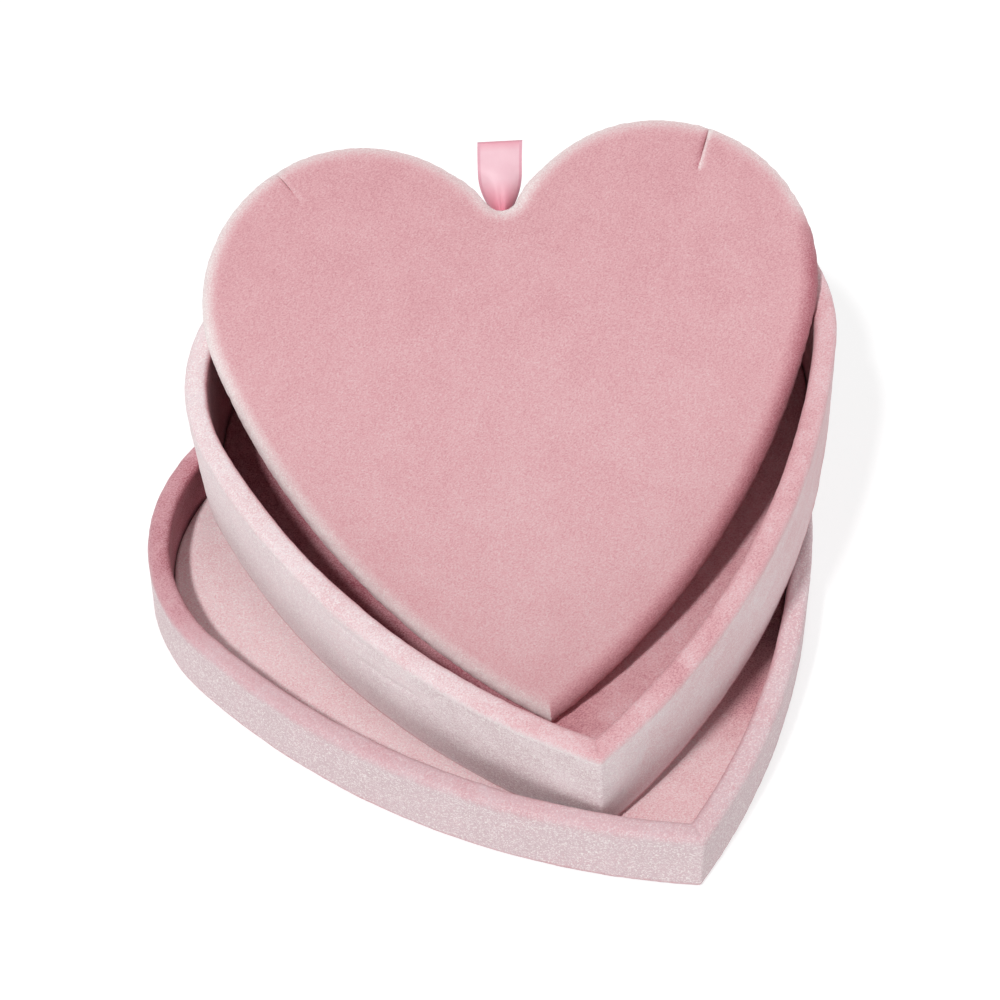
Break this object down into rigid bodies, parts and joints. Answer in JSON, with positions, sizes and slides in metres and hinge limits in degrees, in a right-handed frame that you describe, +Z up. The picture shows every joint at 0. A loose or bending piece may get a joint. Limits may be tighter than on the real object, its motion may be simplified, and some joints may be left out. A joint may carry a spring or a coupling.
{
  "type": "heart-shaped velvet gift box",
  "caption": "Velvet heart gift box shown open: lid upside down, tray leaning in it, and a padded display pad with chain slits and a satin ribbon pull leaning out of the tray.",
  "frame": {"origin": "on the surface, under the lid, midway between the centres of the lid's two lobes", "axes": "+Z up, -Y towards the tip of the lid's heart, +X towards the lid's right lobe seen from above"},
  "size_m": [0.1564, 0.1602, 0.0816],
  "materials": {
    "pink_velvet": "short-pile pink velvet with a pale sheen",
    "greyboard": "matt grey box board",
    "lining_card": "thin matt card",
    "cover_paper": "matt pink paper",
    "soft_foam": "soft open foam sheet",
    "satin_ribbon": "pale pink satin with woven edges"
  },
  "bodies": {
    "lid": {"lid_top_velvet": "pink_velvet", "lid_wall_velvet": "pink_velvet", "lid_top_board": "greyboard", "lid_wall_left": "greyboard", "lid_wall_right": "greyboard", "lid_lining_card": "lining_card", "lid_lining_velvet": "pink_velvet"},
    "tray": {"tray_bottom_cover": "cover_paper", "tray_wall_velvet": "pink_velvet", "tray_floor_board": "greyboard", "tray_wall_left": "greyboard", "tray_wall_right": "greyboard", "tray_lining_card": "lining_card", "tray_lining_velvet": "pink_velvet"},
    "pad": {"pad_board": "greyboard", "pad_foam": "soft_foam", "pad_velvet": "pink_velvet", "pad_backing": "cover_paper", "ribbon_tail": "satin_ribbon"},
    "ribbon": {"ribbon_tab": "satin_ribbon"}
  },
  "joints": [
    {"name": "tray_lift", "type": "slide", "parent": "lid", "child": "tray", "axis": [0, 0, 1], "range_m": [0, 0.1]},
    {"name": "pad_lift", "type": "slide", "parent": "tray", "child": "pad", "axis": [0, 0, 1], "range_m": [0, 0.1]},
    {"name": "ribbon_bend", "type": "hinge", "parent": "pad", "child": "ribbon", "pos_m": [0.02015, 0.02884, 0.06815], "axis": [0.925, -0.3756, 0.0578], "range_deg": [-40, 70], "stiffness_Nm_per_rad": 0.0005}
  ]
}
